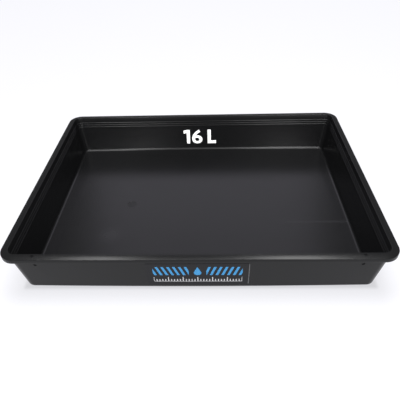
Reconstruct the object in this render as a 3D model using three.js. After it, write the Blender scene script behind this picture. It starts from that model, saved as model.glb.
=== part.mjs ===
// Oil drain pan: a shallow injection-moulded tray that holds sixteen litres, and the film
// label stuck on its front wall.
//
// Millimetres, +Z up. The front of the pan faces -Y and its long side lies along X.
// The origin is on the ground, under the middle of the base.

import * as THREE from 'three';

// ---------------------------------------------------------------- driving dimensions

const LENGTH = 570;                // over the rim, along X
const WIDTH = 430;                 // over the rim, along Y
const HEIGHT = 80;                 // base to the top of the rim's crest

const FLOOR_THICKNESS = 3;
const WALL_THICKNESS = 2.8;        // measured level, through the drafted wall
const WALL_SETBACK_BASE = 18.6;    // wall's outer face behind the rim's edge, at the ground
const WALL_SETBACK_TOP = 9.2;      // the same, level with the rim's underside
const WALL_BOW = 2.4;              // how far the long walls belly out at the ground, mid-length
const BASE_ROUND = 5;              // outside rounding between wall and base
const FLOOR_FILLET = 4.5;          // inside rounding between wall and floor

const RIM_UNDERSIDE = 71;          // height of the skirt's lower edge
const RIM_SHELL = 2.2;             // thickness of the rim's skirt and roof
const CREST_DROP = 1.7;            // how far the crest falls from its inner edge to the skirt
const CREST_LEAN = 0.15;           // 0: the crest is level at its inner edge; 1: one even slope
const EDGE_BREAK = 0.5;            // small chamfer on the skirt's and crest's edges

const RIM_CORNER = 23.5;           // corner radii seen from above
const WALL_CORNER_TOP = RIM_CORNER - WALL_SETBACK_TOP;
const WALL_CORNER_BASE = 13;

const BEAD_COUNT = 3;              // raised lines round the inside, below the rim
const BEAD_TOP_LINE = 68.2;        // height of the highest bead's middle
const BEAD_PITCH = 4.6;
const BEAD_HALF_HEIGHT = 1.1;
const BEAD_PROUD = 0.8;

const LABEL_WIDTH = 152;
const LABEL_HEIGHT = 50;
const LABEL_CORNER = 2;
const LABEL_FILM = 0.25;           // thickness of the film
const LABEL_GAP = 0.3;             // adhesive layer between film and wall
const LABEL_MIDDLE = 34;           // height of the label's middle

const CORNER_STEPS = 7;            // straight pieces in each rounded corner
const LONG_SIDE_STEPS = 8;         // straight pieces along each bowed long side
const CREST_STEPS = 7;
const FILLET_STEPS = 4;

// ---------------------------------------------------------------- the walls as functions of height

const DRAFT = Math.atan((WALL_SETBACK_BASE - WALL_SETBACK_TOP) / RIM_UNDERSIDE);

function wallSetback(z) {
  return THREE.MathUtils.lerp(WALL_SETBACK_BASE, WALL_SETBACK_TOP, z / RIM_UNDERSIDE);
}

function wallCorner(z) {
  return THREE.MathUtils.lerp(WALL_CORNER_BASE, WALL_CORNER_TOP, z / RIM_UNDERSIDE);
}

function wallBow(z) {
  return WALL_BOW * Math.max(0, 1 - z / RIM_UNDERSIDE);
}

// A level is one closed ring of the tray: how far it stands inside the rim's edge, and its
// height. These two lie on the wall's outer and on its inner face.
function outerLevel(z) {
  return { inset: wallSetback(z), z };
}

function innerLevel(z, proud = 0) {
  return { inset: wallSetback(z) + WALL_THICKNESS + proud, z };
}

// Rings at one height share their corners' axes, so a ring further in has tighter corners. All
// of the rim's rings share those of its skirt.
function cornerRadius({ inset, z }) {
  const wallZ = Math.min(z, RIM_UNDERSIDE);
  return wallCorner(wallZ) + wallSetback(wallZ) - inset;
}

// ---------------------------------------------------------------- the tray's section, ring by ring

// Rings round an arc that hangs from its centre: angle 0 is straight down, a quarter turn
// points outwards.
function hangingArc(centre, radius, fromAngle, toAngle) {
  const levels = [];
  for (let step = 0; step <= FILLET_STEPS; step += 1) {
    const angle = THREE.MathUtils.lerp(fromAngle, toAngle, step / FILLET_STEPS);
    levels.push({
      inset: centre.inset - radius * Math.sin(angle),
      z: centre.z - radius * Math.cos(angle),
    });
  }
  return levels;
}

// The centre of an arc that touches both the level plane groundZ and the wall beside it.
function filletCentre(radius, groundZ, levelAt) {
  const touchAngle = Math.PI / 2 - DRAFT;
  const touch = levelAt(groundZ + radius - radius * Math.cos(touchAngle));
  return { inset: touch.inset + radius * Math.sin(touchAngle), z: groundZ + radius };
}

function baseRounding() {
  const centre = filletCentre(BASE_ROUND, 0, outerLevel);
  return hangingArc(centre, BASE_ROUND, 0, Math.PI / 2 - DRAFT);
}

function floorFillet() {
  const centre = filletCentre(FLOOR_FILLET, FLOOR_THICKNESS, innerLevel);
  return hangingArc(centre, FLOOR_FILLET, Math.PI / 2 - DRAFT, 0);
}

// The rim is a channel, open below: the wall's outer face runs up into it, the roof crosses
// to the skirt, and the skirt hangs down outside.
function rimChannel() {
  const roof = HEIGHT - CREST_DROP - RIM_SHELL;
  return [
    outerLevel(roof),
    { inset: RIM_SHELL, z: roof },
    { inset: RIM_SHELL, z: RIM_UNDERSIDE + EDGE_BREAK },
    { inset: RIM_SHELL - EDGE_BREAK, z: RIM_UNDERSIDE },
    { inset: EDGE_BREAK, z: RIM_UNDERSIDE },
    { inset: 0, z: RIM_UNDERSIDE + EDGE_BREAK },
    { inset: 0, z: HEIGHT - CREST_DROP - EDGE_BREAK },
  ];
}

// The crest is half an arch: steepest at the skirt, nearly level at its inner edge.
function rimCrest() {
  const span = innerLevel(HEIGHT).inset - EDGE_BREAK;
  const levels = [];
  for (let step = 0; step <= CREST_STEPS; step += 1) {
    const inset = THREE.MathUtils.lerp(EDGE_BREAK, span, step / CREST_STEPS);
    const outwards = 1 - inset / span;
    const fallen = THREE.MathUtils.lerp(outwards ** 2, outwards, CREST_LEAN);
    levels.push({ inset, z: HEIGHT - CREST_DROP * fallen });
  }
  return levels;
}

function innerBeads() {
  const levels = [innerLevel(HEIGHT - EDGE_BREAK)];
  for (let bead = 0; bead < BEAD_COUNT; bead += 1) {
    const middle = BEAD_TOP_LINE - bead * BEAD_PITCH;
    levels.push(innerLevel(middle + BEAD_HALF_HEIGHT));
    levels.push(innerLevel(middle + BEAD_HALF_HEIGHT / 2, BEAD_PROUD));
    levels.push(innerLevel(middle - BEAD_HALF_HEIGHT / 2, BEAD_PROUD));
    levels.push(innerLevel(middle - BEAD_HALF_HEIGHT));
  }
  return levels;
}

// ---------------------------------------------------------------- lofting

// One ring seen from above, counter-clockwise: four quarter circles, two bowed long sides and
// two straight short sides. A bowed side is a parabola, so its control point stands out twice
// as far as its middle.
function outline({ inset, z }) {
  const corner = cornerRadius({ inset, z });
  const x = LENGTH / 2 - inset - corner;
  const y = WIDTH / 2 - inset - corner;
  const side = y + corner;
  const end = x + corner;
  const control = side + 2 * wallBow(z);
  const quarter = Math.PI / 2;

  const arc = (centreX, centreY, quadrant) => {
    const start = quadrant * quarter;
    return new THREE.EllipseCurve(centreX, centreY, corner, corner, start, start + quarter);
  };
  const bowed = (fromX, level, controlY) => new THREE.QuadraticBezierCurve(
    new THREE.Vector2(fromX, level),
    new THREE.Vector2(0, controlY),
    new THREE.Vector2(-fromX, level),
  );
  const straight = (level, fromY) => new THREE.LineCurve(
    new THREE.Vector2(level, fromY),
    new THREE.Vector2(level, -fromY),
  );

  const stretches = [
    [arc(x, y, 0), CORNER_STEPS],
    [bowed(x, side, control), LONG_SIDE_STEPS],
    [arc(-x, y, 1), CORNER_STEPS],
    [straight(-end, y), 1],
    [arc(-x, -y, 2), CORNER_STEPS],
    [bowed(-x, -side, -control), LONG_SIDE_STEPS],
    [arc(x, -y, 3), CORNER_STEPS],
    [straight(end, -y), 1],
  ];
  return stretches.flatMap(([curve, steps]) => curve.getPoints(steps).slice(0, -1));
}

// Joins the rings in order with bands of triangles, and closes the first ring from below and
// the last one from above.
function loft(levels) {
  const rings = levels.map(outline);
  const count = rings[0].length;
  const positions = [];
  rings.forEach((ring, index) => {
    ring.forEach((point) => positions.push(point.x, point.y, levels[index].z));
  });

  const indices = [];
  for (let band = 0; band < rings.length - 1; band += 1) {
    for (let i = 0; i < count; i += 1) {
      const next = (i + 1) % count;
      const lower = band * count;
      const upper = lower + count;
      indices.push(lower + i, lower + next, upper + next);
      indices.push(lower + i, upper + next, upper + i);
    }
  }
  for (const [a, b, c] of THREE.ShapeUtils.triangulateShape(rings[0], [])) {
    indices.push(a, c, b);
  }
  const last = (rings.length - 1) * count;
  for (const [a, b, c] of THREE.ShapeUtils.triangulateShape(rings.at(-1), [])) {
    indices.push(last + a, last + b, last + c);
  }

  const geometry = new THREE.BufferGeometry();
  geometry.setAttribute('position', new THREE.Float32BufferAttribute(positions, 3));
  geometry.setIndex(indices);
  geometry.computeVertexNormals();
  return geometry;
}

// ---------------------------------------------------------------- pieces

function makeTray() {
  const material = new THREE.MeshStandardMaterial({ color: 0x1b1b1d, roughness: 0.42, metalness: 0 });
  const section = [
    ...baseRounding(),
    ...rimChannel(),
    ...rimCrest(),
    ...innerBeads(),
    ...floorFillet(),
  ];
  const tray = new THREE.Mesh(loft(section), material);
  tray.name = 'tray';
  return tray;
}

// The label is a flat rounded rectangle of film, laid on the middle of the front wall and
// tilted with it.
function makeFrontLabel() {
  const halfWidth = LABEL_WIDTH / 2;
  const halfHeight = LABEL_HEIGHT / 2;
  const r = LABEL_CORNER;
  const shape = new THREE.Shape();
  shape.moveTo(halfWidth, halfHeight - r);
  shape.quadraticCurveTo(halfWidth, halfHeight, halfWidth - r, halfHeight);
  shape.lineTo(-halfWidth + r, halfHeight);
  shape.quadraticCurveTo(-halfWidth, halfHeight, -halfWidth, halfHeight - r);
  shape.lineTo(-halfWidth, -halfHeight + r);
  shape.quadraticCurveTo(-halfWidth, -halfHeight, -halfWidth + r, -halfHeight);
  shape.lineTo(halfWidth - r, -halfHeight);
  shape.quadraticCurveTo(halfWidth, -halfHeight, halfWidth, -halfHeight + r);
  shape.closePath();
  const geometry = new THREE.ExtrudeGeometry(shape, {
    depth: LABEL_FILM,
    bevelEnabled: false,
    curveSegments: FILLET_STEPS,
  });

  const frontFace = (z) => -(WIDTH / 2 - wallSetback(z) + wallBow(z));
  const leanOut = Math.atan((frontFace(0) - frontFace(RIM_UNDERSIDE)) / RIM_UNDERSIDE);
  const material = new THREE.MeshStandardMaterial({ color: 0x1f2024, roughness: 0.3, metalness: 0 });
  const label = new THREE.Mesh(geometry, material);
  label.name = 'front_label';
  label.rotation.x = Math.PI / 2 + leanOut;
  label.position.set(
    0,
    frontFace(LABEL_MIDDLE) - LABEL_GAP * Math.cos(leanOut),
    LABEL_MIDDLE - LABEL_GAP * Math.sin(leanOut),
  );
  return label;
}

const pan = new THREE.Group();
pan.add(makeTray());
pan.add(makeFrontLabel());

export default pan;
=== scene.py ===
# %% [markdown]
# # An oil drain pan
#
# The object is one shallow tray, injection-moulded in black plastic, with a film label on its
# front wall and its capacity printed inside its back wall. This lesson builds it round the
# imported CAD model: the tray is lofted again with a fine section, the label and the print are laid
# on the walls, and then every surface gets a material made of nodes.
#
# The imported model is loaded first, because every size and place below starts from it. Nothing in
# it is moved.

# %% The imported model
import math

import bmesh
import bpy
from mathutils import Matrix, Vector


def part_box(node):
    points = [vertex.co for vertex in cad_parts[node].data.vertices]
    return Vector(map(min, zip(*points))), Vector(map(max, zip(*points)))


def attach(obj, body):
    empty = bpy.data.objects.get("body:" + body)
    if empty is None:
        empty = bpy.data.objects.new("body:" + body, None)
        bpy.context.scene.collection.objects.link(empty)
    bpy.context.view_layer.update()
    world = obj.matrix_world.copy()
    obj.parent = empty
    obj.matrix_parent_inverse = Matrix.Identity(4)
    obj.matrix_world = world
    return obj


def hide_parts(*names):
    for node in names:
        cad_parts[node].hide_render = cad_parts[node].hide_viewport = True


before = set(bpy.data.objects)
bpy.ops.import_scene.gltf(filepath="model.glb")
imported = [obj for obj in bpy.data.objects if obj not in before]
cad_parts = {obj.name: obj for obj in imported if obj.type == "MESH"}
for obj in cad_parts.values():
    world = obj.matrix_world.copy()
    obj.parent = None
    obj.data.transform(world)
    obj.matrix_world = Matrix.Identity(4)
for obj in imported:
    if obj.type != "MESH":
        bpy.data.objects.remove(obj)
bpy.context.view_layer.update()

# %% [markdown]
# ## The design, in metres
#
# The length, width and height come from the tray's own box, so they follow the CAD. The rest
# are the maker's dimensions for walls, rim and beads. A drafted wall is described by how far it
# stands back from the rim's edge, which changes in a straight line with height. The long walls
# also belly out a little at the ground, as such mouldings do when they cool.

# %% Driving dimensions
MM = 0.001
tray_low, tray_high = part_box("tray")
LENGTH, WIDTH, HEIGHT = tray_high - tray_low

FLOOR_THICKNESS = 3 * MM
WALL_THICKNESS = 2.8 * MM
SETBACK_BASE = 18.6 * MM
SETBACK_TOP = 9.2 * MM
WALL_BOW = 2.4 * MM
BASE_ROUND = 5 * MM
FLOOR_FILLET = 4.5 * MM

RIM_UNDERSIDE = 71 * MM
RIM_SHELL = 2.2 * MM
RIM_CORNER = 23.5 * MM
BASE_CORNER = 13 * MM
CREST_DROP = 1.7 * MM
CREST_LEAN = 0.15
CREST_EDGE = 0.6 * MM

BEAD_COUNT = 3
BEAD_TOP_LINE = 68.2 * MM
BEAD_PITCH = 4.6 * MM
BEAD_HALF_HEIGHT = 1.1 * MM
BEAD_PROUD = 0.65 * MM

print(f"tray {LENGTH / MM:.0f} x {WIDTH / MM:.0f} x {HEIGHT / MM:.0f} mm")


# %% The walls as functions of height
def lerp(a, b, t):
    return a + (b - a) * t


def setback(z):
    """How far the wall's outer face stands inside the rim's edge."""
    return lerp(SETBACK_BASE, SETBACK_TOP, z / RIM_UNDERSIDE)


def inner_setback(z):
    return setback(z) + WALL_THICKNESS


def corner_radius(inset, z):
    """The radius of a ring's corners: rings further in have tighter corners, round one axis."""
    level = min(z, RIM_UNDERSIDE)
    top_corner = RIM_CORNER - SETBACK_TOP
    wall_corner = lerp(BASE_CORNER, top_corner, level / RIM_UNDERSIDE)
    return wall_corner + setback(level) - inset


def bow(z):
    return WALL_BOW * max(0, 1 - z / RIM_UNDERSIDE)


lean = math.atan((SETBACK_BASE - SETBACK_TOP) / RIM_UNDERSIDE)
print(f"walls lean {math.degrees(lean):.1f} degrees")

# %% [markdown]
# ## The section of the tray
#
# Cut the pan across and the wall shows one thin bent line: base, wall, the rim's turned-down
# skirt, its arched crest, three small beads, the wall again and the floor. That line could be a
# long list of points. It is shorter, and easier to change, to give only its corners and how
# round each one is, and to let a vertex bevel turn them into arcs. The crest and the beads are
# already curves, so the crest is worked out as half an arch and each bead as half a wave.

# %% The crest and the beads
CREST_STEPS = 12
BEAD_STEPS = 8


def crest_z(inset):
    """The crest is half an arch: nearly level at the inner wall, steepest at the skirt."""
    outward = 1 - inset / inner_setback(HEIGHT)
    return HEIGHT - CREST_DROP * lerp(outward ** 2, outward, CREST_LEAN)


def crest_points():
    start = 2 * CREST_EDGE
    insets = [lerp(start, inner_setback(HEIGHT), step / CREST_STEPS) for step in range(CREST_STEPS)]
    return [(inset, crest_z(inset), 0) for inset in insets]


def bead_points(middle):
    """One raised line on the inner wall, seen in section as half a wave."""
    points = []
    for step in range(BEAD_STEPS + 1):
        angle = math.pi * step / BEAD_STEPS
        z = middle + BEAD_HALF_HEIGHT * math.cos(angle)
        points.append((inner_setback(z) + BEAD_PROUD * math.sin(angle), z, 0))
    return points


# %% The section's corners, each with its rounding
SMALL_ROUND = 0.6 * MM
LIP_DRAFT = 0.2 * MM
FLAT_REACH = 8 * MM

roof = HEIGHT - RIM_SHELL
skirt_roof = roof - CREST_DROP
channel_roof = [(inset, z - RIM_SHELL, 0) for inset, z, _ in reversed(crest_points())
                if RIM_SHELL + SMALL_ROUND < inset < setback(roof) - SMALL_ROUND]
beads = [bead_points(BEAD_TOP_LINE - BEAD_PITCH * i) for i in range(BEAD_COUNT)]
section_corners = [
    (setback(0) + FLAT_REACH, 0, 0),
    (setback(0), 0, BASE_ROUND),
    (setback(RIM_UNDERSIDE), RIM_UNDERSIDE, 0),
    (setback(roof), roof, SMALL_ROUND),
    *channel_roof,
    (RIM_SHELL, skirt_roof, SMALL_ROUND),
    (RIM_SHELL, RIM_UNDERSIDE + LIP_DRAFT, SMALL_ROUND),
    (0, RIM_UNDERSIDE, SMALL_ROUND),
    (0, crest_z(0), CREST_EDGE),
    *crest_points(),
    (inner_setback(HEIGHT), HEIGHT, SMALL_ROUND),
    *[point for bead in beads for point in bead],
    (inner_setback(FLOOR_THICKNESS), FLOOR_THICKNESS, FLOOR_FILLET),
    (inner_setback(0) + FLAT_REACH, FLOOR_THICKNESS, 0),
]
print(len(section_corners), "corners in the section")


# %% Rounding the corners with a vertex bevel
ARC_STEP = 0.6 * MM


def rounded_section(corners):
    """Draws the section as a bent wire, rounds its corners, and walks along it."""
    wire = bmesh.new()
    points = [wire.verts.new((inset, 0, z)) for inset, z, _ in corners]
    for a, b in zip(points, points[1:]):
        wire.edges.new((a, b))
    start = points[0]
    for point, (_, _, rounding) in zip(points, corners):
        if rounding:
            bmesh.ops.bevel(
                wire, geom=[point], affect="VERTICES", offset=rounding, offset_type="OFFSET",
                segments=3 + round(rounding / ARC_STEP), profile=0.5, material=-1)
    walked = [start]
    while True:
        steps = [e.other_vert(walked[-1]) for e in walked[-1].link_edges]
        ahead = [v for v in steps if v not in walked]
        if not ahead:
            break
        walked.append(ahead[0])
    section = [(v.co.x, v.co.z) for v in walked]
    wire.free()
    return section


section = rounded_section(section_corners)
print(len(section), "points in the rounded section")

# %% [markdown]
# ## From section to tray
#
# A spin would make a round pan. This one has four straight sides and four corners whose radius
# changes with height, so each point of the section becomes a ring: a square face stretched to
# size, its four corners rounded by a vertex bevel, and its face thrown away. Every ring has
# the same number of points, so bridging each ring to the next makes clean bands of quads. The
# first and last rings are closed with one flat face each: the base and the floor.


# %% One ring of the tray
CORNER_SEGMENTS = 16
SIDE_CUTS = 9
ON_SIDE = 0.001 * MM


def ring(mesh, inset, z):
    verts = bmesh.ops.create_grid(mesh, x_segments=1, y_segments=1, size=0.5)["verts"]
    bmesh.ops.scale(mesh, vec=(LENGTH - 2 * inset, WIDTH - 2 * inset, 1), verts=verts)
    bmesh.ops.translate(mesh, vec=(0, 0, z), verts=verts)
    rounded = bmesh.ops.bevel(
        mesh, geom=verts, affect="VERTICES", offset=corner_radius(inset, z),
        offset_type="OFFSET", segments=CORNER_SEGMENTS, profile=0.5, material=-1)
    face = rounded["verts"][0].link_faces[0]
    edges = list(face.edges)
    bmesh.ops.delete(mesh, geom=[face], context="FACES_ONLY")
    sides = [e for e in edges if e.calc_length() > WIDTH / 2]
    cut = bmesh.ops.subdivide_edges(mesh, edges=sides, cuts=SIDE_CUTS)["geom"]
    edges = list({*edges, *(part for part in cut if isinstance(part, bmesh.types.BMEdge))})
    belly_out(edges, inset, z)
    return edges


def belly_out(edges, inset, z):
    """Moves the long sides outwards along a parabola, by the bow at this height."""
    half_run = LENGTH / 2 - inset - corner_radius(inset, z)
    side = WIDTH / 2 - inset
    for v in {v for e in edges for v in e.verts}:
        if abs(v.co.y) > side - ON_SIDE and abs(v.co.x) < half_run:
            share = 1 - (v.co.x / half_run) ** 2
            v.co.y += math.copysign(bow(z) * share, v.co.y)


# %% Bridging the rings
def loft_tray():
    mesh = bmesh.new()
    rings = [ring(mesh, inset, z) for inset, z in section]
    for lower, upper in zip(rings, rings[1:]):
        bmesh.ops.bridge_loops(mesh, edges=lower + upper)
    for end in (rings[0], rings[-1]):
        bmesh.ops.contextual_create(mesh, geom=end)
    bmesh.ops.recalc_face_normals(mesh, faces=mesh.faces)
    return mesh


tray_mesh = loft_tray()
loose = [e for e in tray_mesh.edges if not e.is_manifold]
print(len(tray_mesh.faces), "faces,", len(loose), "open edges")
print(f"plastic volume {tray_mesh.calc_volume() * 1e3:.3f} litres")


# %% Making an object of a finished bmesh
def finish_mesh(mesh, name, body="root"):
    data = bpy.data.meshes.new(name)
    mesh.to_mesh(data)
    mesh.free()
    data.shade_smooth()
    piece = bpy.data.objects.new(name, data)
    bpy.context.scene.collection.objects.link(piece)
    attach(piece, body)
    return piece


tray = finish_mesh(tray_mesh, "moulded_tray")
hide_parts("tray")
print("moulded tray:", len(tray.data.vertices), "points")

# %% [markdown]
# ## The marks of the mould
#
# A mould leaves traces. The plastic entered through one gate, off the middle of the floor, and
# left a shallow round recess there. Four ejector pins pushed the pan out and left pits about
# 5 mm wide: two on the crest of the front rim and two on the wall under it. They could be
# painted, but a painted mark has no edge for the light to catch, so they are really cut into
# the mesh. One boolean with all five cutters does it; the cutters are thrown away afterwards.
# Edges that turn by more than 35 degrees are then marked sharp, so that smooth shading stops at
# them.

# %% Cutting the gate recess and the pin pits
GATE_PLACE = Vector((-131, 0, 3)) * MM
GATE_RADIUS = 8.5 * MM
GATE_DEPTH = 0.3 * MM
PIN_RADIUS = 2.4 * MM
PIN_DEPTH = 1 * MM
CREST_PIN = Vector((233.5, -208.5, 79.6)) * MM
WALL_PIN_X = 236.5 * MM
WALL_PIN_Z = 57 * MM
CUTTER_SIDES = 48
CUTTER_TAPER = 0.02


def disc_cutter(mesh, place, radius, depth, turn):
    """A short drum centred on the surface that it cuts, slightly wider at its outer end."""
    where = Matrix.Translation(place) @ turn
    bmesh.ops.create_cone(
        mesh, cap_ends=True, segments=CUTTER_SIDES, radius1=radius * (1 - CUTTER_TAPER),
        radius2=radius * (1 + CUTTER_TAPER), depth=2 * depth, matrix=where)


cutter_mesh = bmesh.new()
upright = Matrix.Identity(4)
facing_front = Matrix.Rotation(math.pi / 2, 4, "X")
disc_cutter(cutter_mesh, GATE_PLACE, GATE_RADIUS, GATE_DEPTH, upright)
for side in (-1, 1):
    crest_place = Vector((side * CREST_PIN.x, CREST_PIN.y, CREST_PIN.z))
    wall_place = Vector((side * WALL_PIN_X, setback(WALL_PIN_Z) - WIDTH / 2, WALL_PIN_Z))
    disc_cutter(cutter_mesh, crest_place, PIN_RADIUS, PIN_DEPTH, upright)
    disc_cutter(cutter_mesh, wall_place, PIN_RADIUS, PIN_DEPTH, facing_front)
cutter = finish_mesh(cutter_mesh, "mould_mark_cutter")
print(len(cutter.data.polygons), "faces in the cutters")

# %% One boolean for all the marks
SHARP_ANGLE = math.radians(35)

cut = tray.modifiers.new("mould marks", "BOOLEAN")
cut.operation = "DIFFERENCE"
cut.solver = "EXACT"
cut.object = cutter
ready = tray.evaluated_get(bpy.context.evaluated_depsgraph_get())
tray.data = bpy.data.meshes.new_from_object(ready)
tray.modifiers.clear()
bpy.data.objects.remove(cutter)
tray.data.set_sharp_from_angle(angle=SHARP_ANGLE)
print(len(tray.data.polygons), "faces after cutting")

# %% [markdown]
# ## The label
#
# A rectangle of printed film lies on the front wall. The wall leans and bellies, so a flat
# rectangle would float at its ends. The film starts as a flat grid with rounded corners, gets
# its thickness, and is then laid on: every point keeps its place along the wall and up it, and
# moves to the wall's face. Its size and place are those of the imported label.

# %% Laying film on the wall
FILM_THICKNESS = 0.25 * MM
FILM_GAP = 0.05 * MM
FILM_CORNER = 2 * MM
FILM_CORNER_SEGMENTS = 6
FILM_STEPS = 24

label_low, label_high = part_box("front_label")


def front_wall_y(x, z):
    """The y of the front wall's outer face, with its lean and its belly."""
    inset = setback(z)
    half_run = LENGTH / 2 - inset - corner_radius(inset, z)
    return inset - WIDTH / 2 - bow(z) * (1 - (x / half_run) ** 2)


def label_sheet():
    mesh = bmesh.new()
    verts = bmesh.ops.create_grid(
        mesh, x_segments=FILM_STEPS, y_segments=1, size=0.5)["verts"]
    size = label_high - label_low
    bmesh.ops.scale(mesh, vec=(size.x, size.z, 1), verts=verts)
    corners = [v for v in verts if len(v.link_edges) == 2]
    bmesh.ops.bevel(
        mesh, geom=corners, affect="VERTICES", offset=FILM_CORNER, offset_type="OFFSET",
        segments=FILM_CORNER_SEGMENTS, profile=0.5, material=-1)
    bmesh.ops.solidify(mesh, geom=mesh.faces, thickness=FILM_THICKNESS)
    bmesh.ops.recalc_face_normals(mesh, faces=mesh.faces)
    stand = min(v.co.z for v in mesh.verts)
    for v in mesh.verts:
        x = v.co.x + (label_low.x + label_high.x) / 2
        z = v.co.y + (label_low.z + label_high.z) / 2
        proud = v.co.z - stand + FILM_GAP
        v.co = (x, front_wall_y(x, z) - proud, z)
    return mesh


label = finish_mesh(label_sheet(), "front_label_film")
label.data.set_sharp_from_angle(angle=SHARP_ANGLE)
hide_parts("front_label")
print("label", [round(v / MM, 1) for v in label_high - label_low], "mm")

# %% [markdown]
# ## The capacity mark
#
# The number of litres stands in white inside the back wall, in heavy upright signs. The
# straight ones are drawn by their corners. The round one is typed in the built-in typeface,
# thickened, turned into a mesh and fitted to its place; the same thickening would make straight
# signs soft at their corners. All of them are drawn flat, given the thickness of a print, and
# then laid against the wall. They could be painted in the wall's material, but a mesh keeps
# their edges crisp from close by. The mark is left out of reflections, so the glossy floor
# under it stays plain.

# %% Drawing the signs flat
MARK_BOTTOM = 16.5 * MM
MARK_TOP = 48.7 * MM
MARK_WEIGHT = 0.018
MARK_THICKNESS = 0.15 * MM
MARK_GAP = 0.05 * MM
STROKE = 7 * MM
ONE_LEFT = -41 * MM
ONE_STEM = -34.4 * MM
FLAG_FALL = 1.5 * MM
SIX_LEFT = -22.6 * MM
SIX_RIGHT = 0
ELL_LEFT = 11.7 * MM
ELL_RIGHT = 30 * MM
WELD = 0.01 * MM


def typed_sign(mesh, sign, left, right):
    """Types one sign and stretches it between left and right, at the mark's full height."""
    text = bpy.data.curves.new("typed", "FONT")
    text.body = sign
    text.offset = MARK_WEIGHT
    typed = bpy.data.objects.new("typed", text)
    bpy.context.scene.collection.objects.link(typed)
    drawn = bpy.data.meshes.new_from_object(
        typed.evaluated_get(bpy.context.evaluated_depsgraph_get()))
    bpy.data.objects.remove(typed)
    count = len(mesh.verts)
    mesh.from_mesh(drawn)
    bpy.data.meshes.remove(drawn)
    mesh.verts.ensure_lookup_table()
    verts = mesh.verts[count:]
    xs = [v.co.x for v in verts]
    ys = [v.co.y for v in verts]
    for v in verts:
        across = (v.co.x - min(xs)) / (max(xs) - min(xs))
        up = (v.co.y - min(ys)) / (max(ys) - min(ys))
        v.co = (lerp(left, right, across), lerp(MARK_BOTTOM, MARK_TOP, up), 0)


def straight_sign(mesh, outline):
    """One flat face through the sign's corners, given anticlockwise."""
    mesh.faces.new([mesh.verts.new((across, up, 0)) for across, up in outline])


mark_mesh = bmesh.new()
straight_sign(mark_mesh, [
    (ONE_STEM, MARK_BOTTOM),
    (ONE_STEM + STROKE, MARK_BOTTOM),
    (ONE_STEM + STROKE, MARK_TOP),
    (ONE_STEM, MARK_TOP),
    (ONE_LEFT, MARK_TOP - FLAG_FALL),
    (ONE_LEFT, MARK_TOP - FLAG_FALL - STROKE),
    (ONE_STEM, MARK_TOP - STROKE)])
straight_sign(mark_mesh, [
    (ELL_LEFT, MARK_BOTTOM),
    (ELL_RIGHT, MARK_BOTTOM),
    (ELL_RIGHT, MARK_BOTTOM + STROKE),
    (ELL_LEFT + STROKE, MARK_BOTTOM + STROKE),
    (ELL_LEFT + STROKE, MARK_TOP),
    (ELL_LEFT, MARK_TOP)])
typed_sign(mark_mesh, "6", SIX_LEFT, SIX_RIGHT)
bmesh.ops.remove_doubles(mark_mesh, verts=mark_mesh.verts, dist=WELD)
mark_mesh.normal_update()
print(len(mark_mesh.faces), "flat faces in the mark")


# %% Laying the signs on the back wall
def back_wall_y(z):
    return WIDTH / 2 - inner_setback(z) + bow(z)


for face in mark_mesh.faces:
    if face.normal.z < 0:
        face.normal_flip()
bmesh.ops.solidify(mark_mesh, geom=mark_mesh.faces, thickness=MARK_THICKNESS)
bmesh.ops.recalc_face_normals(mark_mesh, faces=mark_mesh.faces)
deepest = min(v.co.z for v in mark_mesh.verts)
for v in mark_mesh.verts:
    z = v.co.y
    v.co = (v.co.x, back_wall_y(z) - MARK_GAP - (v.co.z - deepest), z)
capacity = finish_mesh(mark_mesh, "capacity_mark")
capacity.data.set_sharp_from_angle(angle=SHARP_ANGLE)
capacity.visible_glossy = False
print(len(capacity.data.polygons), "faces in the capacity mark")

# %% [markdown]
# ## Materials: a small helper first
#
# A material is a graph of nodes, and most of it is arithmetic. One class wraps a node's output,
# so that `1 - mask` or `height * 0.3 + grain` can be written as it is said. Another holds one
# material's graph and adds any other node. The same could be done by hand in the shader editor,
# but written out it can be read, repeated and changed by its numbers.

# %% The shader helper
class Wire:
    """The output of a node, usable in arithmetic."""

    def __init__(self, paint, socket):
        self.paint = paint
        self.socket = socket

    def math(self, operation, *values):
        return self.paint.node("ShaderNodeMath", {"operation": operation}, dict(enumerate(values)))

    def __add__(self, other):
        return self.math("ADD", self, other)

    def __radd__(self, other):
        return self.math("ADD", other, self)

    def __sub__(self, other):
        return self.math("SUBTRACT", self, other)

    def __rsub__(self, other):
        return self.math("SUBTRACT", other, self)

    def __mul__(self, other):
        return self.math("MULTIPLY", self, other)

    def __abs__(self):
        return self.math("ABSOLUTE", self)

    def least(self, other):
        return self.math("MINIMUM", self, other)

    def most(self, other):
        return self.math("MAXIMUM", self, other)


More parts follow.
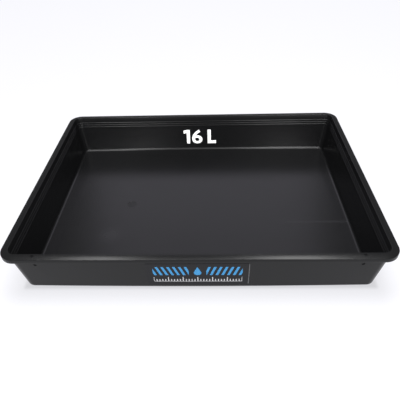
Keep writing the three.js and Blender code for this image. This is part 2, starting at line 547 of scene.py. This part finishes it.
class Paint:
    """One material's graph; `node` adds any node, and the rest are short ways to use it."""

    def __init__(self, name, specular, slot_values):
        self.material = bpy.data.materials.new(name)
        self.material.use_nodes = True
        self.tree = self.material.node_tree
        self.shader = self.tree.nodes["Principled BSDF"]
        self.shader.inputs["Specular IOR Level"].default_value = specular
        for socket, value in slot_values.items():
            self.shader.inputs[socket].default_value = value
        self.place = self.node("ShaderNodeTexCoord", {}, {}, "Object")

    def node(self, kind, settings, values, output=0):
        made = self.tree.nodes.new(kind)
        for name, value in settings.items():
            setattr(made, name, value)
        for socket, value in values.items():
            self.feed(made.inputs[socket], value)
        return Wire(self, made.outputs[output])

    def feed(self, socket, value):
        if isinstance(value, Wire):
            self.tree.links.new(value.socket, socket)
        else:
            socket.default_value = value

    def finish(self, **sockets):
        for name, value in sockets.items():
            self.feed(self.shader.inputs[name.replace("_", " ")], value)
        return self.material

    def noise(self, scale, detail, stretch=(1, 1, 1)):
        """Cloudy values about 0.5; scale is in features per metre, stretch squeezes an axis."""
        squeezed = self.node(
            "ShaderNodeVectorMath", {"operation": "MULTIPLY"}, {0: self.place, 1: stretch})
        return self.node(
            "ShaderNodeTexNoise", {}, {"Vector": squeezed, "Scale": scale, "Detail": detail}, "Fac")

    def axes(self):
        split = self.tree.nodes.new("ShaderNodeSeparateXYZ")
        self.tree.links.new(self.place.socket, split.inputs[0])
        return [Wire(self, out) for out in split.outputs]

    def ramp(self, value, low, high, to_low=0, to_high=1):
        """Runs smoothly from to_low to to_high while value runs from low to high."""
        span = {"From Min": low, "From Max": high, "To Min": to_low, "To Max": to_high}
        return self.node(
            "ShaderNodeMapRange", {"interpolation_type": "SMOOTHSTEP"}, {"Value": value, **span})

    def blend(self, mask, a, b):
        return self.node(
            "ShaderNodeMix", {"data_type": "RGBA"}, {"Factor": mask, 6: a, 7: b}, 2)

    def bump(self, height, distance):
        return self.node(
            "ShaderNodeBump", {}, {"Height": height, "Distance": distance, "Strength": 1})


def reach(across, along):
    """The distance from a centre, out of the distances along two axes."""
    squares = across * across + along * along
    return squares.math("SQRT", squares)


print("shader helper ready")

# %% [markdown]
# ## Black polypropylene
#
# The plastic is nearly black, so almost everything that is seen in it is gloss: pale where it
# mirrors the bright studio, dark where it mirrors its own walls. What gives it away as a moulding
# is that the gloss isn't even. A fine spark-eroded grain softens it, the flow of the plastic
# leaves faint clouds, shrinkage leaves the flats very slightly wavy, and the gate is duller than
# the rest. Two faint places lie on the floor: a round pale spot at the left, which is a painted
# sheen and is also duller, and a dull worn line towards the right end. One colour and one
# roughness all over would be simpler, and would look like a drawing. So most of this goes into
# roughness and bump. The colour itself hardly varies, except that the sheen spot and the worn
# line are painted a little paler.

# %% Where the plastic differs
GLOSS = 0.18
GATE_EDGE = 1 * MM
FLOOR_FADE = 1 * MM
# The round spot is a painted sheen: a pale patch put into the floor's colour, also a little duller.
SHEEN_SPOT = Vector((-157, -84)) * MM
SHEEN_SPOT_REACH = 30 * MM
SHEEN_SPOT_SHARE = 0.8
FLOW_LINE_Y = -53 * MM
FLOW_LINE_WIDTH = 5 * MM
FLOW_LINE_START = 130 * MM
FLOW_LINE_FULL = 169 * MM
FLOW_LINE_WEAR = 0.6
LEAST_WEAR_AND_SHEEN = 0.4
CLOUDS_PER_METRE = 9
STREAKS_PER_METRE = 16

paint = Paint("black_polypropylene", GLOSS, {})
x, y, z = paint.axes()
clouds = paint.noise(CLOUDS_PER_METRE, detail=3)
streaks = paint.noise(STREAKS_PER_METRE, detail=4, stretch=(1, 4, 4))
from_gate = reach(x - GATE_PLACE.x, y - GATE_PLACE.y)
on_gate = paint.ramp(from_gate, GATE_RADIUS, GATE_RADIUS - GATE_EDGE)
on_floor = paint.ramp(z, FLOOR_THICKNESS + FLOOR_FADE, FLOOR_THICKNESS)
# Where the painted sheen spot lies on the floor; it shares one mask with the worn flow line.
from_sheen_spot = reach(x - SHEEN_SPOT.x, y - SHEEN_SPOT.y)
sheen_spot_mask = paint.ramp(from_sheen_spot, SHEEN_SPOT_REACH, 0) * on_floor
flow_line = paint.ramp(abs(y - FLOW_LINE_Y), FLOW_LINE_WIDTH, 0) * on_floor
flow_line = flow_line * paint.ramp(x, FLOW_LINE_START, FLOW_LINE_FULL)
wear_and_sheen = (sheen_spot_mask * SHEEN_SPOT_SHARE).most(flow_line * FLOW_LINE_WEAR) * (LEAST_WEAR_AND_SHEEN + streaks)
print(len(paint.tree.nodes), "nodes so far")

# %% The plastic
PLASTIC_COLOUR = (0.0038, 0.0039, 0.0041, 1)
PLASTIC_PALE = (0.0051, 0.0051, 0.0055, 1)
# The paler colour of the painted sheen spot and of the worn flow line.
PLASTIC_WEAR_AND_SHEEN = (0.010, 0.010, 0.011, 1)
LEAST_ROUGHNESS = 0.21
CLOUD_ROUGHNESS = 0.05
STREAK_ROUGHNESS = 0.03
GATE_ROUGHNESS = 0.1
WEAR_AND_SHEEN_ROUGHNESS = 0.06
GRAINS_PER_METRE = 2600
RIPPLES_PER_METRE = 14
GRAIN_SHARE = 0.05
PLASTIC_RELIEF = 0.12 * MM

grain = paint.noise(GRAINS_PER_METRE, detail=2)
ripple = paint.noise(RIPPLES_PER_METRE, detail=1)
roughness = LEAST_ROUGHNESS + clouds * CLOUD_ROUGHNESS + streaks * STREAK_ROUGHNESS
roughness = roughness + on_gate * GATE_ROUGHNESS + wear_and_sheen * WEAR_AND_SHEEN_ROUGHNESS
plastic_colour = paint.blend(clouds, PLASTIC_COLOUR, PLASTIC_PALE)
plastic = paint.finish(
    Base_Color=paint.blend(wear_and_sheen, plastic_colour, PLASTIC_WEAR_AND_SHEEN),
    Roughness=roughness,
    Normal=paint.bump(grain * GRAIN_SHARE + ripple, PLASTIC_RELIEF))
tray.data.materials.clear()
tray.data.materials.append(plastic)
print("black plastic:", len(paint.tree.nodes), "nodes")

# %% [markdown]
# ## The printed film
#
# The label is black film with a light print. Its design is the maker's own business, so this
# one carries a plain oil drop between slanted bars, over the ticks of a ruler. A picture could
# be wrapped on it, and would blur from close by. Here each figure is a distance worked out from
# the place on the wall, negative inside the figure, so its edge is sharp at any size. The lesser
# of two distances joins two figures, and the greater keeps only what they share.

# %% Distances for printed figures
def band(value, low, high):
    """Negative between low and high."""
    return abs(value - (low + high) / 2) - (high - low) / 2


def repeated(value, pitch, width):
    """Negative inside stripes of this width, one every pitch, one of them centred on zero."""
    folded = value.math("PINGPONG", value, pitch / 2)
    return folded - width / 2


FILM_ROUGHNESS = 0.24
film = Paint("label_film", GLOSS, {"Roughness": FILM_ROUGHNESS})
x, y, z = film.axes()
print("two kinds of distance ready")

# %% The bars and the drop
ROW_LOW = 32 * MM
ROW_HIGH = 51.5 * MM
BAR_NEAR = 13 * MM
BAR_FAR = 66 * MM
BAR_PITCH = 8.5 * MM
BAR_WIDTH = 3.8 * MM
BAR_SLANT = 0.35
DROP_RADIUS = 5.5 * MM

bars = repeated(abs(x) - z * BAR_SLANT, BAR_PITCH, BAR_WIDTH)
bars = bars.most(band(z, ROW_LOW, ROW_HIGH)).most(band(abs(x), BAR_NEAR, BAR_FAR))
drop_z = ROW_LOW + DROP_RADIUS
bulb = reach(x, z - drop_z) - DROP_RADIUS
tip_angle = math.asin(DROP_RADIUS / (ROW_HIGH - drop_z))
tip = abs(x) * math.cos(tip_angle) + (z - ROW_HIGH) * math.sin(tip_angle)
tip = tip.most((drop_z + DROP_RADIUS * math.sin(tip_angle)) - z)
drop = bulb.least(tip)
print(f"the drop's tip is {2 * math.degrees(tip_angle):.0f} degrees wide")

# %% The ruler
TICK_LOW = 17 * MM
TICK_SHORT = 22 * MM
TICK_LONG = 27 * MM
TICK_PITCH = 4.4 * MM
TICK_WIDTH = 1.5 * MM
TICKS_TO_LONG = 5
RULE_WIDTH = 0.9 * MM

short_ticks = repeated(x, TICK_PITCH, TICK_WIDTH)
short_ticks = short_ticks.most(band(z, TICK_LOW, TICK_SHORT))
long_ticks = repeated(x, TICK_PITCH * TICKS_TO_LONG, TICK_WIDTH)
long_ticks = long_ticks.most(band(z, TICK_LOW, TICK_LONG))
ruler = short_ticks.least(long_ticks).least(band(z, TICK_LOW - RULE_WIDTH, TICK_LOW))
ruler = ruler.most(abs(x) - BAR_FAR)
print("a long tick every", round(TICK_PITCH * TICKS_TO_LONG / MM), "mm")

# %% The film
FILM_BLACK = (0.0046, 0.0046, 0.0056, 1)
FILM_BLUE = (0.03, 0.17, 0.35, 1)
FILM_WHITE = (0.32, 0.32, 0.33, 1)
FILM_RELIEF = 0.06 * MM
WAVES_PER_METRE = 60
PRINT_EDGE = 0.15 * MM
# A painted highlight: the film's right edge is mixed towards white, where that edge would catch the
# light.
EDGE_HIGHLIGHT_START = label_high.x - 1.2 * MM
EDGE_HIGHLIGHT_END = label_high.x - 0.6 * MM
EDGE_HIGHLIGHT_SHARE = 0.25

blue_print = film.ramp(bars.least(drop), PRINT_EDGE, -PRINT_EDGE)
white_print = film.ramp(ruler, PRINT_EDGE, -PRINT_EDGE)
# The painted edge highlight along the film's right edge.
edge_highlight = film.ramp(x, EDGE_HIGHLIGHT_START, EDGE_HIGHLIGHT_END, 0, EDGE_HIGHLIGHT_SHARE)
colour = film.blend(edge_highlight, FILM_BLACK, FILM_WHITE)
colour = film.blend(blue_print, colour, FILM_BLUE)
colour = film.blend(white_print, colour, FILM_WHITE)
label_film = film.finish(
    Base_Color=colour,
    Normal=film.bump(film.noise(WAVES_PER_METRE, detail=2), FILM_RELIEF))
label.data.materials.clear()
label.data.materials.append(label_film)
print("label film:", len(film.tree.nodes), "nodes")

# %% [markdown]
# ## The white print
#
# The capacity mark is thick white ink, the palest thing on the pan. A plain white would do from
# far away. Close by, ink has fine specks that differ a little in shade and height, so one fine
# noise drives both its colour and its relief.

# %% The white print of the capacity mark
INK_GLOSS = 0.4
INK_ROUGHNESS = 0.45
INK_DIM = (0.9, 0.9, 0.9, 1)
INK_WHITE = (1, 1, 1, 1)
INK_RELIEF = 0.02 * MM
SPECKS_PER_METRE = 900

white = Paint("white_print", INK_GLOSS, {"Roughness": INK_ROUGHNESS})
speck = white.noise(SPECKS_PER_METRE, detail=3)
capacity.data.materials.clear()
capacity.data.materials.append(white.finish(
    Base_Color=white.blend(speck, INK_DIM, INK_WHITE),
    Normal=white.bump(speck, INK_RELIEF)))
print("white print:", len(white.tree.nodes), "nodes")

# %% [markdown]
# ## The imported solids
#
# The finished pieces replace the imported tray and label, but those stay in the file. They could
# keep their plain colours. They get the same finishes instead, so that they look right wherever
# they are shown.

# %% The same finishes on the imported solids
for name, finish in (("tray", plastic), ("front_label", label_film)):
    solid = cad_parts[name]
    solid.data.materials.clear()
    solid.data.materials.append(finish)
    print(name, "gets", finish.name)

# %% [markdown]
# ## The camera
#
# The camera looks down into the pan from the front, a little right of the middle, and is turned
# slightly left and tilted slightly clockwise, as a hand-held one is. Its lens is set from the
# width of the view, so it doesn't depend on the size of the picture. A constraint could aim the
# camera at the pan, but three turns, one after the other, also allow the tilt.

# %% Camera
CAMERA_PLACE = Vector((26.2, -624.2, 512.1)) * MM
LOOK_DOWN = math.radians(38.66)
TURN_LEFT = math.radians(2.54)
TILT = math.radians(-2.10)
LENS_MM = 38.33
SENSOR_MM = 36

camera_data = bpy.data.cameras.new("camera")
camera_data.sensor_width = SENSOR_MM
camera_data.lens = LENS_MM
camera = bpy.data.objects.new("camera", camera_data)
bpy.context.scene.collection.objects.link(camera)
turned = Matrix.Rotation(TURN_LEFT, 4, "Z")
lowered = Matrix.Rotation(math.pi / 2 - LOOK_DOWN, 4, "X")
tilted = Matrix.Rotation(TILT, 4, "Z")
camera.matrix_world = Matrix.Translation(CAMERA_PLACE) @ turned @ lowered @ tilted
bpy.context.scene.camera = camera
print("camera place in mm:", [round(v / MM) for v in CAMERA_PLACE])

# %% [markdown]
# ## The studio
#
# Black plastic shows the room, so each light is placed by what should be seen in one face. An
# environment picture would be quicker, but its reflections can't be placed one by one. The table
# is white and glows like a light box, which keeps it pale round the pan. Its glow is painted
# darker near the base, a soft painted shadow, because the front wall mirrors that strip of it. A
# tall panel behind gives the pan's floor its grey sheen, which fades where the back and end walls
# hide the panel. Three long boxes hang overhead, and the bright outer two draw the light
# stretches on the front crest. Two low boxes in front are seen in the back wall, by way of the
# pan's own floor.

# %% The table
TABLE_HALF = 3
TABLE_DROP = 0.2 * MM

floor_mesh = bmesh.new()
bmesh.ops.create_grid(floor_mesh, x_segments=1, y_segments=1, size=TABLE_HALF)
floor_data = bpy.data.meshes.new("studio_floor")
floor_mesh.to_mesh(floor_data)
floor_mesh.free()
studio_floor = bpy.data.objects.new("studio_floor", floor_data)
bpy.context.scene.collection.objects.link(studio_floor)
studio_floor.location.z = -TABLE_DROP
print("table", 2 * TABLE_HALF, "m square")

# %% The table's light
TABLE_GLOW = 0.93
TABLE_DARK = (0, 0, 0, 1)
TABLE_BRIGHT = (0.985, 0.985, 1.03, 1)
PAN_SHADE = 0.8
PAN_SHADE_REACH = 60 * MM
CONTACT_SHADE = 0.8
CONTACT_REACH = 9 * MM
CLOTH_GREY = (0.055, 0.055, 0.055, 1)
CLOTH_PALE = (0.065, 0.065, 0.065, 1)
THREADS_PER_METRE = 300

table = Paint("light_table", 0, {"Roughness": 1, "Emission Strength": TABLE_GLOW})
x, y, z = table.axes()
beyond_x = (abs(x) - (LENGTH / 2 - SETBACK_BASE)).most(0)
beyond_y = (abs(y) - (WIDTH / 2 - SETBACK_BASE)).most(0)
beyond = reach(beyond_x, beyond_y)
# Painted shade: the table's glow is dimmed round the pan's base, a soft painted shadow with a
# darker contact strip.
lit = table.ramp(beyond, 0, PAN_SHADE_REACH, PAN_SHADE, 1)
lit = lit * table.ramp(beyond, 0, CONTACT_REACH, CONTACT_SHADE, 1)
cloth = table.noise(THREADS_PER_METRE, detail=2)
studio_floor.data.materials.append(table.finish(
    Base_Color=table.blend(cloth, CLOTH_GREY, CLOTH_PALE),
    Emission_Color=table.blend(lit, TABLE_DARK, TABLE_BRIGHT)))
print("light table:", len(table.tree.nodes), "nodes")

# %% The lights
WATTS_PER_AREA = 4
REAR_TINT = (1, 0.97, 1.12)


def softbox(name, place, aim, size, strength, colour=(1, 1, 1)):
    """A soft rectangular light, in metres; equal strengths look equally bright at any size."""
    data = bpy.data.lights.new(name, "AREA")
    data.shape = "RECTANGLE"
    data.size, data.size_y = size
    data.energy = WATTS_PER_AREA * size[0] * size[1] * strength
    data.color = colour
    light = bpy.data.objects.new(name, data)
    bpy.context.scene.collection.objects.link(light)
    facing = (Vector(aim) - Vector(place)).to_track_quat("-Z", "Y").to_matrix().to_4x4()
    light.matrix_world = Matrix.Translation(place) @ facing
    print(f"{name}: {data.energy:.1f} W")


softbox("rear_panel", (-0.03, 1.3, 1.35), (-0.03, 0, 0.2), (1.42, 1.15), 1.1, REAR_TINT)
softbox("overhead_left", (-0.46, -0.5, 1.2), (-0.46, -0.5, 0), (0.2, 1.6), 13)
softbox("overhead_middle", (-0.07, -0.6, 1.2), (-0.07, -0.6, 0), (0.56, 1.4), 1.7)
softbox("overhead_right", (0.35, -0.5, 1.2), (0.35, -0.5, 0), (0.28, 1.6), 13)
softbox("front_left", (-0.33, -1.0, 0.4), (-0.33, 0, 0.3), (0.13, 0.5), 23)
softbox("front_right", (0.38, -1.0, 0.4), (0.38, 0, 0.3), (0.2, 0.5), 17)

# %% The room's own grey
WORLD_GREY = 0.24
WORLD_TINT = (0.98, 0.99, 1, 1)

world = bpy.data.worlds.new("studio")
world.use_nodes = True
backdrop = world.node_tree.nodes["Background"]
backdrop.inputs["Color"].default_value = WORLD_TINT
backdrop.inputs["Strength"].default_value = WORLD_GREY
bpy.context.scene.world = world
bpy.context.scene.view_settings.view_transform = "Standard"
print("world strength", WORLD_GREY)
